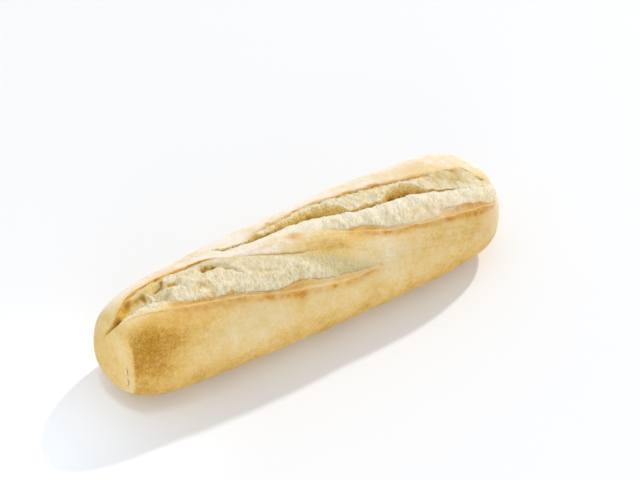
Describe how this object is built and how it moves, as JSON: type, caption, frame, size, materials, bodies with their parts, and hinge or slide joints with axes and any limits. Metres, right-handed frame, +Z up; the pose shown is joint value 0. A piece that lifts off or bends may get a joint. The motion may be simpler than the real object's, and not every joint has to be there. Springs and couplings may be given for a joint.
{
  "type": "baguette",
  "caption": "Short white baguette with blunt rounded ends, a flat underside, and overlapping diagonal cuts burst open along the top.",
  "frame": {"origin": "middle of the underside, at the centre of the loaf's box, on the surface that it lies on", "axes": "+X along the loaf towards its wider end, +Y across it away from the camera, +Z up"},
  "size_m": [0.23, 0.0668, 0.0545],
  "materials": {
    "crust": "baked golden crust, matt with a faint sheen, with pale torn crumb in the cuts"
  },
  "bodies": {
    "root": {"loaf": "crust"}
  },
  "joints": []
}
